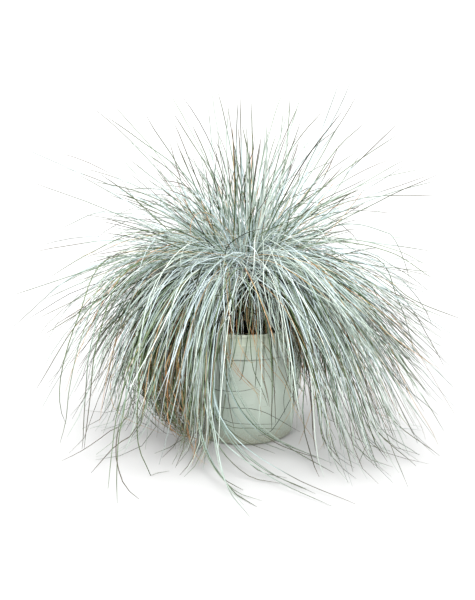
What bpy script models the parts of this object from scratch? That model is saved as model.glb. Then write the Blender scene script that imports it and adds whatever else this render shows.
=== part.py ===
# Potted blue fescue clump: a plastic pot, its soil, the crown and the leaf tufts.
# Metres, +Z up, the origin at the middle of the pot's underside, the front towards -Y.
import math
import random

import bmesh
import bpy
from mathutils import Matrix, Vector, noise

SEED = 27
GAP = 0.0003                 # clear space between pieces that touch
MERGE = 0.00001              # points closer than this are one point

# Pot, a 13 cm grower's pot
POT_HEIGHT = 0.118
LIP_RADIUS = 0.065
LIP_DEPTH = 0.0032           # height of the bead round the mouth
LIP_ROUND = 0.0008
BAND_DEPTH = 0.0255          # from the lip down to the undercut
BAND_STEP = 0.0014           # how far the band stands in from the lip
BAND_LEAN = 0.0006           # how much further in it is at its lower edge
BODY_TOP_RADIUS = 0.0625     # just under the band
BODY_BASE_RADIUS = 0.0484    # where the tapered wall would meet the ground
UNDERCUT_ROUND = 0.0006
POT_WALL = 0.0018
CORNER_RADIUS = 0.0045       # between wall and underside
FLOOR_HEIGHT = 0.0045        # inner face of the pot's floor
FOOT_INNER_RADIUS = 0.036    # the foot is a ring round a shallow recess
RECESS_DEPTH = 0.002
CENTRE_PAD_RADIUS = 0.012    # the flat the pot is set down on, in the middle
POT_STEPS = 30
HOLE_COUNT = 6
HOLE_RADIUS = 0.0045
HOLE_CIRCLE = 0.024
HOLE_SIDES = 8

# Soil
SOIL_HEIGHT = 0.105          # at the wall
SOIL_CROWN_HEIGHT = 0.107    # level spot that the crown stands on
SOIL_CROWN_RADIUS = 0.031
SOIL_LUMP = 0.0022           # height of the lumps
SOIL_LUMP_SIZE = 0.011       # and how wide they are

# Crown, a sheaf of leaf bases with a domed top
CROWN_FOOT_RADIUS = 0.0265
CROWN_RADIUS = 0.0215        # radius of the dome that the tufts leave from
CROWN_CENTRE = 0.150         # height of the dome's centre
CROWN_WAIST = (0.0209, 0.136)   # radius and height where the sheaf is tightest
CROWN_SWELL = (0.0249, 0.1163)  # and just over the soil
CROWN_RIB = 0.045            # depth of the furrows between the ribs, as a share
CROWN_STEPS = 18
CROWN_RIB_STEPS = 3          # one rib in three steps
DOME_SEGMENTS = 5

# Tufts
FLOOR_CLEARANCE = 0.0016     # height at which a leaf lies on the ground
FLARE_HEIGHT = 0.040         # a falling leaf starts to turn outwards here
FLARE_SHAPE = 0.75
PATH_STEPS = 90
TIP_WIDTH = 0.0010
TAPER_SHAPE = 0.6            # under 1: a leaf keeps its width for long
ROOT_SHARE = 0.05            # the first bit of a tuft stands square on the crown
STEM_SEGMENTS = 5
SIDE_SEGMENTS = 3
SIDE_WIDTH = 0.8             # of the stem's width
SIDE_END = (0.78, 0.97)      # where a side leaf ends, as a share of the stem's length
SIDE_SPREAD = (0.85, 1.0)
SWEEP_SHAPE = 0.7            # under 1: a leaf parts from its tuft early
# where each side leaf of a tuft ends in the tuft's spread, and how much further it bends
SIDE_LEAVES = ((-1.0, 5.0), (0.4, -7.0), (1.0, 2.0))

# Each group of tufts: how many, the stretch of azimuth they fill and where in its share of
# it each one stands, the angle from the vertical at which they leave the crown, how far they
# bend over, how early, and how long and how wide they are. Pairs are the lowest and highest
# of a range. Angles in degrees, azimuth from +X towards +Y.
GROUPS = {
    "upright": dict(count=7, azimuth=(-90, 270), place=0.5, lean=(17, 20), bend=(3, 17),
                    early=(1.0, 1.3), length=(0.150, 0.178), width=0.0038, spread=17.0, wander=3.0),
    "spreading": dict(count=11, azimuth=(-76, 284), place=0.5, lean=(37, 41), bend=(12, 44),
                      early=(1.0, 1.2), length=(0.186, 0.210), width=0.0046, spread=11.0, wander=2.0),
    "arching": dict(count=7, azimuth=(-52, 268), place=0.25, lean=(56, 58), bend=(24, 62),
                    early=(1.0, 1.2), length=(0.198, 0.222), width=0.0046, spread=8.0, wander=1.5),
    "falling": dict(count=7, azimuth=(-52, 268), place=0.75, lean=(56, 58), bend=(98, 112),
                    early=(1.0, 1.3), length=(0.235, 0.285), width=0.0046, spread=8.0, wander=1.5),
    "trailing": dict(count=13, azimuth=(-46, 222), place=0.5, lean=(73, 75), bend=(94, 99),
                     early=(1.4, 2.6), length=(0.210, 0.255), width=0.0046, spread=7.0, wander=1.0),
}
TOP_TUFT = dict(lean=2.0, bend=6.0, early=1.0, length=0.170, width=0.0038, spread=60.0)
TOP_AZIMUTH = 200
HANGING_LOCK = dict(lean=74, bend=99, early=3.4, length=0.235, width=0.0056, spread=9.0)
LOCK_AZIMUTH = -121
DRY_TUFT = dict(lean=89, bend=84, early=1.9, width=0.0038, spread=10.0)
DRY_LENGTH = (0.140, 0.170)
DRY_AZIMUTHS = (-28, 128, 162, 187, 212)

SHARP_ANGLE = 35             # edges sharper than this stay crisp

# Colours seen in the foliage, the pot and the soil
COLOURS = {
    "pot": ((0.47, 0.53, 0.45), 0.55),
    "potting_soil": ((0.045, 0.030, 0.020), 0.95),
    "crown": ((0.16, 0.17, 0.10), 0.85),
    "leaf": ((0.33, 0.42, 0.42), 0.60),
    "dry_leaf": ((0.44, 0.31, 0.17), 0.80),
}


def clear_scene():
    for thing in list(bpy.data.objects):
        bpy.data.objects.remove(thing, do_unlink=True)


def new_collection(name):
    collection = bpy.data.collections.new(name)
    bpy.context.scene.collection.children.link(collection)
    return collection


def make_material(slot):
    colour, roughness = COLOURS[slot]
    material = bpy.data.materials.new(slot)
    material.use_nodes = True
    shader = material.node_tree.nodes["Principled BSDF"]
    shader.inputs["Base Color"].default_value = (*colour, 1.0)
    shader.inputs["Roughness"].default_value = roughness
    shader.inputs["Metallic"].default_value = 0.0
    material.diffuse_color = (*colour, 1.0)
    return material


def add_object(name, mesh, collection, material=None):
    thing = bpy.data.objects.new(name, mesh)
    collection.objects.link(thing)
    if material:
        mesh.materials.clear()
        mesh.materials.append(material)
    return thing


def evaluated_mesh(thing, name):
    # the object's mesh with its modifiers applied, as a new mesh
    bpy.context.view_layer.update()
    graph = bpy.context.evaluated_depsgraph_get()
    mesh = bpy.data.meshes.new_from_object(thing.evaluated_get(graph))
    mesh.name = name
    return mesh


def turned(name, profile, steps, collection, material):
    # profile: points (radius, height) from the axis on top, down the outside, to the axis
    mesh = bpy.data.meshes.new(name)
    edges = [(i, i + 1) for i in range(len(profile) - 1)]
    mesh.from_pydata([(r, 0.0, z) for r, z in profile], edges, [])
    thing = add_object(name, mesh, collection, material)
    screw = thing.modifiers.new("turn", "SCREW")
    screw.axis = "Z"
    screw.steps = steps
    screw.render_steps = steps
    screw.use_merge_vertices = True
    screw.merge_threshold = MERGE
    return thing


def shade_round(thing):
    thing.data.shade_smooth()
    thing.data.set_sharp_from_angle(angle=math.radians(SHARP_ANGLE))


# The pot and its drain holes

def wall_radius(height):
    # outside of the tapered wall
    top = POT_HEIGHT - BAND_DEPTH
    return BODY_BASE_RADIUS + (BODY_TOP_RADIUS - BODY_BASE_RADIUS) * height / top


def band_radius(height):
    # outside of the band, which leans out a little towards the lip
    return LIP_RADIUS - BAND_STEP - BAND_LEAN * (POT_HEIGHT - height) / BAND_DEPTH


def inner_radius(height):
    undercut = POT_HEIGHT - BAND_DEPTH
    if height <= undercut:
        return wall_radius(height) - POT_WALL
    return band_radius(height) - POT_WALL


def pot_profile():
    undercut = POT_HEIGHT - BAND_DEPTH
    lip_bottom = POT_HEIGHT - LIP_DEPTH
    inner_shoulder = undercut + POT_WALL
    points = [
        (0.0, FLOOR_HEIGHT),
        (inner_radius(FLOOR_HEIGHT) - CORNER_RADIUS / 2, FLOOR_HEIGHT),
        (inner_radius(FLOOR_HEIGHT + CORNER_RADIUS), FLOOR_HEIGHT + CORNER_RADIUS / 2),
        (inner_radius(undercut), undercut),
        (inner_radius(inner_shoulder), inner_shoulder),
        (inner_radius(lip_bottom), lip_bottom),
        (LIP_RADIUS - POT_WALL - LIP_ROUND, POT_HEIGHT - LIP_ROUND),
        (LIP_RADIUS - POT_WALL, POT_HEIGHT),
        (LIP_RADIUS - LIP_ROUND, POT_HEIGHT),
        (LIP_RADIUS, POT_HEIGHT - LIP_ROUND),
        (LIP_RADIUS, lip_bottom + UNDERCUT_ROUND),
        (band_radius(lip_bottom), lip_bottom),
        (band_radius(undercut), undercut + UNDERCUT_ROUND),
        (band_radius(undercut) - UNDERCUT_ROUND, undercut),
        (wall_radius(undercut), undercut),
    ]
    corner = wall_radius(CORNER_RADIUS)
    points += [
        (corner - CORNER_RADIUS * (1 - math.cos(turn)), CORNER_RADIUS * (1 - math.sin(turn)))
        for turn in (math.radians(step) for step in (0, 45, 90))
    ]
    points += [
        (FOOT_INNER_RADIUS, 0.0),
        (FOOT_INNER_RADIUS - RECESS_DEPTH, RECESS_DEPTH),
        (CENTRE_PAD_RADIUS + RECESS_DEPTH, RECESS_DEPTH),
        (CENTRE_PAD_RADIUS, 0.0),
        (0.0, 0.0),
    ]
    return points


def make_pot(parts, cutters, material):
    pot = turned("pot", pot_profile(), POT_STEPS, parts, material)
    holes = bpy.data.meshes.new("drain_holes")
    shape = bmesh.new()
    for index in range(HOLE_COUNT):
        turn = 2 * math.pi * (index + 0.5) / HOLE_COUNT
        place = Matrix.Translation((HOLE_CIRCLE * math.cos(turn), HOLE_CIRCLE * math.sin(turn),
                                    FLOOR_HEIGHT / 2))
        bmesh.ops.create_cone(shape, cap_ends=True, segments=HOLE_SIDES, radius1=HOLE_RADIUS,
                              radius2=HOLE_RADIUS, depth=3 * FLOOR_HEIGHT, matrix=place)
    shape.to_mesh(holes)
    shape.free()
    cutter = add_object("drain_hole_cutter", holes, cutters)
    cutter.hide_render = True
    cutter.display_type = "WIRE"
    cut = pot.modifiers.new("drain holes", "BOOLEAN")
    cut.operation = "DIFFERENCE"
    cut.solver = "EXACT"
    cut.object = cutter
    shade_round(pot)
    return pot


# The soil, which is level under the crown and lumpy round it

def soil_profile():
    undercut = POT_HEIGHT - BAND_DEPTH
    shoulder = undercut + POT_WALL
    bottom = FLOOR_HEIGHT + GAP
    mound = 0.5 * (SOIL_CROWN_RADIUS + inner_radius(SOIL_HEIGHT))
    return [
        (0.0, SOIL_CROWN_HEIGHT),
        (SOIL_CROWN_RADIUS, SOIL_CROWN_HEIGHT),
        (mound, SOIL_HEIGHT),
        (inner_radius(SOIL_HEIGHT) - GAP, SOIL_HEIGHT),
        (inner_radius(shoulder) - GAP, shoulder),
        (inner_radius(undercut) - GAP, undercut),
        (inner_radius(bottom) - CORNER_RADIUS / 2 - GAP, bottom + CORNER_RADIUS / 2),
        (inner_radius(bottom) - CORNER_RADIUS, bottom),
        (0.0, bottom),
    ]


def make_soil(parts, material):
    blank = turned("soil_blank", soil_profile(), POT_STEPS, parts, material)
    mesh = evaluated_mesh(blank, "potting_soil")
    bpy.data.objects.remove(blank, do_unlink=True)
    for vertex in mesh.vertices:
        radius = math.hypot(vertex.co.x, vertex.co.y)
        on_top = vertex.co.z > SOIL_HEIGHT - SOIL_LUMP
        if on_top and SOIL_CROWN_RADIUS + GAP < radius < inner_radius(SOIL_HEIGHT) - 2 * GAP:
            vertex.co.z += SOIL_LUMP * noise.noise(vertex.co / SOIL_LUMP_SIZE)
    soil = add_object("potting_soil", mesh, parts, material)
    shade_round(soil)
    return soil


# The crown: its ribs are the shoots of the clump, pressed together

def crown_profile():
    foot = SOIL_CROWN_HEIGHT + GAP
    dome = [math.pi / 2 * step / DOME_SEGMENTS for step in range(DOME_SEGMENTS + 1)]
    points = [(CROWN_RADIUS * math.sin(a), CROWN_CENTRE + CROWN_RADIUS * math.cos(a)) for a in dome]
    return points + [CROWN_WAIST, CROWN_SWELL, (CROWN_FOOT_RADIUS, foot), (0.0, foot)]


def make_crown(parts, material):
    blank = turned("crown_blank", crown_profile(), CROWN_STEPS, parts, material)
    mesh = evaluated_mesh(blank, "crown")
    bpy.data.objects.remove(blank, do_unlink=True)
    for vertex in mesh.vertices:
        turn = math.atan2(vertex.co.y, vertex.co.x)
        step = round(turn / (2 * math.pi) * CROWN_STEPS)
        if step % CROWN_RIB_STEPS == 0:
            vertex.co.x *= 1 - CROWN_RIB
            vertex.co.y *= 1 - CROWN_RIB
    crown = add_object("crown", mesh, parts, material)
    shade_round(crown)
    return crown


# The tufts

def leaf_profile(lean, bend, early, length):
    # points (radius, height) of a leaf that leaves the dome square to it and bends over;
    # near the ground it turns outwards and lies down
    start = math.radians(lean)
    reach = CROWN_RADIUS + GAP + MERGE
    radius, height = reach * math.sin(start), CROWN_CENTRE + reach * math.cos(start)
    points = [(radius, height)]
    step = length / PATH_STEPS
    for index in range(PATH_STEPS):
        share = (index + 0.5) / PATH_STEPS
        angle = math.radians(lean + bend * (1 - (1 - share) ** early))
        above = max(0.0, height - FLOOR_CLEARANCE)
        if above < FLARE_HEIGHT:
            angle = min(angle, math.pi / 2 * (1 + (above / FLARE_HEIGHT) ** FLARE_SHAPE))
        radius += step * math.sin(angle)
        height = max(FLOOR_CLEARANCE, height + step * math.cos(angle))
        points.append((radius, height))
    return points


def even_shares(first, last, segments):
    return [first + (last - first) * i / segments for i in range(segments + 1)]


def leaf_points(profile, azimuth, sweep, shares):
    # the points of the profile at these shares of its length, turned about the axis
    points = []
    for share in shares:
        radius, height = profile[round(share * PATH_STEPS)]
        along = (share - shares[0]) / (shares[-1] - shares[0])
        turn = math.radians(azimuth + sweep * along ** SWEEP_SHAPE)
        points.append(Vector((radius * math.cos(turn), radius * math.sin(turn), height)))
    return points


def leaf_section(cutters):
    # the three-cornered section of a folded leaf, of unit radius
    curve = bpy.data.curves.new("leaf_section", "CURVE")
    curve.dimensions = "2D"
    spline = curve.splines.new("POLY")
    spline.points.add(2)
    for index, point in enumerate(spline.points):
        turn = 2 * math.pi * index / 3
        point.co = (math.cos(turn), math.sin(turn), 0.0, 1.0)
    spline.use_cyclic_u = True
    section = add_object("leaf_section", curve, cutters)
    section.hide_render = True
    section.display_type = "WIRE"
    return section


def leaf_mesh(name, points, widths, section, collection):
    # a tapering three-sided rod along the points
    curve = bpy.data.curves.new(name, "CURVE")
    curve.dimensions = "3D"
    curve.bevel_mode = "OBJECT"
    curve.bevel_object = section
    curve.use_fill_caps = True
    spline = curve.splines.new("POLY")
    spline.points.add(len(points) - 1)
    for point, place, width in zip(spline.points, points, widths):
        point.co = (*place, 1.0)
        point.radius = width / 2
    guide = add_object(name, curve, collection)
    mesh = evaluated_mesh(guide, name)
    bpy.data.objects.remove(guide, do_unlink=True)
    shape = bmesh.new()
    shape.from_mesh(mesh)
    bmesh.ops.remove_doubles(shape, verts=shape.verts, dist=MERGE)
    bmesh.ops.recalc_face_normals(shape, faces=shape.faces)
    shape.to_mesh(mesh)
    shape.free()
    return mesh


def taper(width, shares):
    # full width at the foot of the tuft, the tip's width at the leaf's end
    return [TIP_WIDTH + (width - TIP_WIDTH) * (1 - share / shares[-1]) ** TAPER_SHAPE
            for share in shares]


def fill_voids(mesh):
    # a closed-in sliver between two leaves is a small loose surface: only the outer one is kept
    shape = bmesh.new()
    shape.from_mesh(mesh)
    waiting = set(shape.verts)
    islands = []
    while waiting:
        island, front = set(), [waiting.pop()]
        while front:
            vert = front.pop()
            island.add(vert)
            for edge in vert.link_edges:
                other = edge.other_vert(vert)
                if other in waiting:
                    waiting.remove(other)
                    front.append(other)
        islands.append(island)
    islands.sort(key=len)
    inner = [vert for island in islands[:-1] for vert in island]
    bmesh.ops.delete(shape, geom=inner, context="VERTS")
    shape.to_mesh(mesh)
    shape.free()


def make_tuft(name, leaves, section, parts, cutters, material):
    # leaves: (points, widths) pairs; the first is the stem that the others grow out of
    stem, *side_leaves = [leaf_mesh(f"{name}_leaf_{i}", points, widths, section, cutters)
                          for i, (points, widths) in enumerate(leaves)]
    tuft = add_object(name, stem, parts)
    helpers = []
    for mesh in side_leaves:
        helper = add_object(mesh.name, mesh, cutters)
        join = tuft.modifiers.new(mesh.name, "BOOLEAN")
        join.operation = "UNION"
        join.solver = "EXACT"
        join.object = helper
        helpers.append(helper)
    fused = evaluated_mesh(tuft, name)
    fill_voids(fused)
    tuft.modifiers.clear()
    tuft.data = fused
    for helper in helpers:
        bpy.data.objects.remove(helper, do_unlink=True)
    fused.materials.clear()
    fused.materials.append(material)
    shade_round(tuft)
    return tuft


def tuft_leaves(azimuth, wander, rng, lean, bend, early, length, width, spread):
    # the stem and the side leaves, which part from it to both sides
    profile = leaf_profile(lean, bend, early, length)
    stem = [0.0] + even_shares(ROOT_SHARE, 1.0, STEM_SEGMENTS)
    leaves = [(leaf_points(profile, azimuth, wander, stem), taper(width, stem))]
    mirror = rng.choice((-1, 1))
    for place, droop in SIDE_LEAVES:
        profile = leaf_profile(lean, bend + droop, early, length)
        shares = even_shares(rng.choice(stem[1:3]), rng.uniform(*SIDE_END), SIDE_SEGMENTS)
        sweep = wander + mirror * place * spread * rng.uniform(*SIDE_SPREAD)
        start = azimuth + wander * shares[0] ** SWEEP_SHAPE
        widths = [SIDE_WIDTH * w for w in taper(width, shares)]
        leaves.append((leaf_points(profile, start, sweep, shares), widths))
    return leaves


def group_tufts(values, rng):
    # azimuth, wander and shape of each tuft in a group
    low, high = values["azimuth"]
    spacing = (high - low) / values["count"]
    for index in range(values["count"]):
        azimuth = low + spacing * (index + values["place"]) + rng.uniform(-1, 1)
        wander = rng.uniform(-1, 1) * values["wander"]
        shape = {key: rng.uniform(*values[key]) for key in ("lean", "bend", "early", "length")}
        yield azimuth, wander, dict(shape, width=values["width"], spread=values["spread"])


def make_tufts(section, parts, cutters, leaf, dry_leaf, rng):
    def make(name, azimuth, wander, shape, material):
        leaves = tuft_leaves(azimuth, wander, rng, **shape)
        make_tuft(name, leaves, section, parts, cutters, material)

    for group, values in GROUPS.items():
        for index, tuft in enumerate(group_tufts(values, rng)):
            make(f"tuft_{group}_{index + 1:02d}", *tuft, leaf)
    make("tuft_upright_top", TOP_AZIMUTH, 0.0, TOP_TUFT, leaf)
    make("tuft_hanging_lock", LOCK_AZIMUTH, 0.0, HANGING_LOCK, leaf)
    for index, azimuth in enumerate(DRY_AZIMUTHS):
        shape = dict(DRY_TUFT, length=rng.uniform(*DRY_LENGTH))
        make(f"tuft_dry_{index + 1:02d}", azimuth, rng.uniform(-1, 1), shape, dry_leaf)


def main():
    clear_scene()
    parts = new_collection("potted_blue_fescue_clump")
    cutters = new_collection("cutters")
    make_pot(parts, cutters, make_material("pot"))
    make_soil(parts, make_material("potting_soil"))
    make_crown(parts, make_material("crown"))
    section = leaf_section(cutters)
    make_tufts(section, parts, cutters, make_material("leaf"), make_material("dry_leaf"),
               random.Random(SEED))


main()
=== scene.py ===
# Potted blue fescue clump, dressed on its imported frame: a moulded plastic pot, peaty soil,
# the bundle of sheaths, and some thousands of rolled needle leaves that arch to the ground.
# Metres, +Z up, the pot's axis at the origin, the front towards -Y, azimuths from +X to +Y.
import math

import bmesh
import bpy
import numpy as np
from mathutils import Euler, Matrix, Vector, noise


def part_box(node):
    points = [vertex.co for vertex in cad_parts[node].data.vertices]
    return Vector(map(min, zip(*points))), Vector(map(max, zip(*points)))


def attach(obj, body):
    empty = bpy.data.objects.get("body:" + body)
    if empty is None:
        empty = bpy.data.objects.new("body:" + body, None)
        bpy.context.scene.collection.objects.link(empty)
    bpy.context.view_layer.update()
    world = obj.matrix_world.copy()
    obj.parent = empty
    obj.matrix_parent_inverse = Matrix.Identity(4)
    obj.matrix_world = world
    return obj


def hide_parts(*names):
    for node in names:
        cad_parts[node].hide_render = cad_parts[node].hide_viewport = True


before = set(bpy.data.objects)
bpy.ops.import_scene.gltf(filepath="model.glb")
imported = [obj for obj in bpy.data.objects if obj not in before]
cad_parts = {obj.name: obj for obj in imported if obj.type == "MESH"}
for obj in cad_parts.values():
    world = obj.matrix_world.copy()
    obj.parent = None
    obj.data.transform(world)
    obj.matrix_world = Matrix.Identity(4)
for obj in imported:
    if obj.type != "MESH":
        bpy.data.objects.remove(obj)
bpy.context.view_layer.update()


# Shader nodes written as expressions

class Wire:
    # a socket whose + - * ** with numbers or other sockets add Math nodes
    def __init__(self, paint, socket):
        self.paint, self.socket = paint, socket

    def maths(self, operation, first, second):
        return self.paint.node("ShaderNodeMath", {"operation": operation}, {0: first, 1: second})

    def __add__(self, other):
        return self.maths("ADD", self, other)

    __radd__ = __add__

    def __mul__(self, other):
        return self.maths("MULTIPLY", self, other)

    __rmul__ = __mul__

    def __sub__(self, other):
        return self.maths("SUBTRACT", self, other)

    def __rsub__(self, other):
        return self.maths("SUBTRACT", other, self)

    def __pow__(self, other):
        return self.maths("POWER", self, other)

    def __rpow__(self, other):
        return self.maths("POWER", other, self)

    def above(self, low, high):
        # 0 under low, 1 over high, smooth between
        return self.paint.node("ShaderNodeMapRange", {"interpolation_type": "SMOOTHSTEP", "clamp": True},
                               {"Value": self, "From Min": low, "From Max": high})


class Paint:
    # one material and its node tree
    def __init__(self, name, **fixed):
        self.material = bpy.data.materials.new(name)
        self.material.use_nodes = True
        self.tree = self.material.node_tree
        self.shader = self.tree.nodes["Principled BSDF"]
        for socket, value in fixed.items():
            self.shader.inputs[socket.replace("_", " ")].default_value = value

    def node(self, kind, settings, values, output=0):
        # a node with its settings made first, then values or links; gives one of its outputs
        made = self.tree.nodes.new(kind)
        for key, value in settings.items():
            if key == "stops":
                self.setStops(made.color_ramp, value)
            else:
                setattr(made, key, value)
        for key, value in values.items():
            self.feed(made.inputs[key], value)
        return Wire(self, made.outputs[output])

    def setStops(self, ramp, stops):
        while len(ramp.elements) < len(stops):
            ramp.elements.new(0.5)
        for element, (place, colour) in zip(ramp.elements, stops):
            element.position = place
            element.color = (*colour, 1.0)

    def feed(self, socket, value):
        if isinstance(value, Wire):
            self.tree.links.new(value.socket, socket)
        elif isinstance(value, tuple) and len(value) == 3 and len(socket.default_value) == 4:
            socket.default_value = (*value, 1.0)
        else:
            socket.default_value = value

    def fact(self, name):
        # a value that the mesh carries for each of its points
        return self.node("ShaderNodeAttribute", {"attribute_name": name}, {}, "Fac")

    def place(self):
        return self.node("ShaderNodeTexCoord", {}, {}, "Object")

    def stretch(self, where, scale):
        return self.node("ShaderNodeMapping", {}, {"Vector": where, "Scale": scale})

    def cloud(self, where, scale, detail=2.0, rough=0.5):
        return self.node("ShaderNodeTexNoise", {"noise_dimensions": "3D"},
                         {"Vector": where, "Scale": scale, "Detail": detail, "Roughness": rough})

    def ramp(self, stops, amount):
        return self.node("ShaderNodeValToRGB", {"stops": stops}, {0: amount})

    def blend(self, amount, first, second, mode="MIX"):
        return self.node("ShaderNodeMix", {"data_type": "RGBA", "blend_type": mode},
                         {0: amount, 6: first, 7: second}, 2)

    def finish(self, colour, roughness, height, strength, distance):
        bump = self.node("ShaderNodeBump", {},
                         {"Strength": strength, "Distance": distance, "Height": height})
        for socket, value in (("Base Color", colour), ("Roughness", roughness), ("Normal", bump)):
            self.feed(self.shader.inputs[socket], value)
        return self.material


# Meshes

def addMesh(name, points, faces, material, sharpAngle=None):
    mesh = bpy.data.meshes.new(name)
    mesh.from_pydata([tuple(p) for p in points], [], [tuple(f) for f in faces])
    mesh.materials.append(material)
    mesh.shade_smooth()
    if sharpAngle:
        mesh.set_sharp_from_angle(angle=math.radians(sharpAngle))
    thing = bpy.data.objects.new(name, mesh)
    bpy.context.scene.collection.objects.link(thing)
    return thing


def settle(piece, nodes=()):
    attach(piece, "root")
    if nodes:
        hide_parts(*nodes)
    print("made", piece.name, len(piece.data.vertices), "points")


def nodesOf(prefix):
    return sorted(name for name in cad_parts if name.startswith(prefix))


def between(pair, share):
    low, high = pair
    return low + (high - low) * share


def ringOf(radius, height, steps):
    turns = 2 * np.pi * np.arange(steps) / steps
    return [(radius * math.cos(t), radius * math.sin(t), height) for t in turns]


# The photo's camera; one pixel is a little under a millimetre at the pot's axis

studio = {
    "floor": (0.495, 0.495, 0.495),
    "world": 2.0,
    "cameraPlace": (0.0, -1.5035, 0.5472),
    "cameraPitch": 0.2676,
    "cameraYaw": 0.0040,
    "lens": 94.88,
    "sensor": 36.0,
    "picture": (475, 600),
    "lights": (("rightLight", (0.7, -1.6, 1.42), 14, 1.6),   # name, place, degrees across, power
               ("leftLight", (-1.0, -1.4, 1.35), 18, 0.9),
               ("topLight", (-0.1, -0.6, 2.4), 16, 0.4)),
    "lightAim": (0, 0, 0.15),
}


def atPixel(column, row, depth):
    # the place seen at a pixel of the photo, at a depth (y) given in millimetres
    wide, high = studio["picture"]
    focal = studio["lens"] / studio["sensor"] * high
    pitch, yaw = studio["cameraPitch"], studio["cameraYaw"]
    across, rise = (column - wide / 2) / focal, (high / 2 - row) / focal
    ahead = math.cos(pitch) + rise * math.sin(pitch)
    up = -math.sin(pitch) + rise * math.cos(pitch)
    ray = np.array([across * math.cos(yaw) - ahead * math.sin(yaw),
                    across * math.sin(yaw) + ahead * math.cos(yaw), up])
    eye = np.array(studio["cameraPlace"])
    return eye + ray * (0.001 * depth - eye[1]) / ray[1]


# The pot's and the crown's own sizes, as in the frame

pot = {
    "height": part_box("pot")[1][2],
    "lip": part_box("pot")[1][0],
    "lipDepth": 0.0032,
    "bandDepth": 0.0255,
    "bandStep": 0.0014,
    "bandLean": 0.0006,
    "bodyTop": 0.0612,
    "bodyBase": 0.0484,
    "wall": 0.0018,
    "corner": 0.0045,
    "floor": 0.0045,
    "lipRound": 0.0010,
    "lipUnder": 0.0006,            # rounding under the bead of the lip
    "ridge": 0.0112,               # a faint raised line on the band, this far below the lip
    "ridgeHeight": 0.00035,
    "ridgeWidth": 0.0011,
    "bandRound": 0.0007,
    "innerRound": 0.003,
    "footInner": 0.036,
    "recess": 0.002,
    "pad": 0.012,
    "holes": 6,
    "holeRadius": 0.0045,
    "holeCircle": 0.024,
    "steps": 180,
    "sharp": 35,                   # degrees; edges over this stay crisp
}
undercut = pot["height"] - pot["bandDepth"]
soilTop = 0.105
crown = {
    "centre": 0.150,         # of the dome that the leaves grow out of
    "spread": 0.032,
    "rise": 0.024,
    "lift": 0.004,
}


def wallRadius(height):
    return pot["bodyBase"] + (pot["bodyTop"] - pot["bodyBase"]) * height / undercut


def bandRadius(height):
    share = (pot["height"] - pot["lipDepth"] - height) / (pot["bandDepth"] - pot["lipDepth"])
    return pot["lip"] - pot["bandStep"] - pot["bandLean"] * share


def potRadius(height):
    # the widest that the pot is at a height, numbers or arrays
    return np.where(height < undercut, wallRadius(height), pot["lip"])


# Leaves: each one is a three-sided rolled needle on a path that bends under its own weight

leafForm = {
    "rings": 13,
    "finer": 5,              # steps of bending for each ring
    "groundGap": 0.0010,
    "flareHeight": 0.040,    # a leaf that comes down starts to turn outwards here
    "flareShape": 0.75,
    "potGap": 0.0009,
    "tipShare": 0.09,        # the last share of a leaf that tapers
    "tipWidth": 0.35,
    "thickness": 0.72,       # of its width
    "soilGap": 0.004,
    "rimRadius": (0.050, 0.060),   # over this a leaf in the pot rises from the soil to the lip
    "rimDepth": 0.010,       # a leaf lower than this is beside the pot, not over it
}


def keepClear(point, ground):
    # moves points out of the ground, the soil and the pot
    x, y, z = point.T
    radius = np.hypot(x, y) + 1e-9
    rim, lip = pot["height"] + leafForm["potGap"], pot["lip"] + leafForm["potGap"]
    over = pot["height"] - leafForm["rimDepth"]
    near, far = leafForm["rimRadius"]
    slope = np.clip((radius - near) / (far - near), 0.0, 1.0)
    lowest = between((soilTop + leafForm["soilGap"], rim), slope)
    z = np.where((radius < lip) & (z > over), np.maximum(z, lowest), z)
    wall = potRadius(z) + leafForm["potGap"]
    grow = np.where((z <= over) & (radius < wall), wall / radius, 1.0)
    return np.stack([x * grow, y * grow, np.maximum(z, ground)], axis=1)


def bendLeaves(leaf):
    # leaf: a dictionary of arrays, one value a leaf; gives the paths, (leaves, rings, 3)
    steps = (leafForm["rings"] - 1) * leafForm["finer"]
    point = np.array([0.0, 0.0, crown["centre"]]) + leaf["root"]
    step = (leaf["length"] / steps)[:, None]
    ground = leafForm["groundGap"] + leaf["layer"]
    path = [point]
    for index in range(steps):
        share = (index + 0.5) / steps
        wave = 2 * np.pi * (leaf["waves"] * share + leaf["phase"])
        ripple = 2 * np.pi * (leaf["ripples"] * share + leaf["phase"])
        angle = leaf["lean"] + leaf["bend"] * (1 - (1 - share) ** leaf["early"])
        angle = angle + leaf["wobble"] * np.sin(wave) * share
        angle = angle + leaf["ripple"] * np.sin(ripple) * share ** 0.5
        angle = np.radians(angle + leaf["kink"] * (share > leaf["kinkAt"]))
        above = np.clip((point[:, 2] - ground) / leafForm["flareHeight"], 0.0, 1.0)
        limit = np.pi / 2 * (1 + above ** leafForm["flareShape"])
        angle = np.where(above < 1.0, np.minimum(angle, limit), angle)
        heading = leaf["azimuth"] + leaf["heading"] + leaf["sweep"] * share ** 0.8
        heading = np.radians(heading + leaf["sway"] * (np.cos(wave) * share))
        across = np.sin(angle)
        ahead = np.stack([across * np.cos(heading), across * np.sin(heading), np.cos(angle)], axis=1)
        point = keepClear(point + step * ahead, ground)
        path.append(point)
    return np.stack(path[::leafForm["finer"]], axis=1)


def leafWidths(leaf, rings=leafForm["rings"]):
    share = np.linspace(0.0, 1.0, rings)[None, :]
    tip = np.clip((1 - share) / leafForm["tipShare"], 0.0, 1.0) ** 0.7
    belly = 0.82 + 0.18 * np.sin(np.pi * np.clip(share * 1.1, 0, 1))
    return leaf["width"][:, None] * belly * (leafForm["tipWidth"] + (1 - leafForm["tipWidth"]) * tip)


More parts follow.
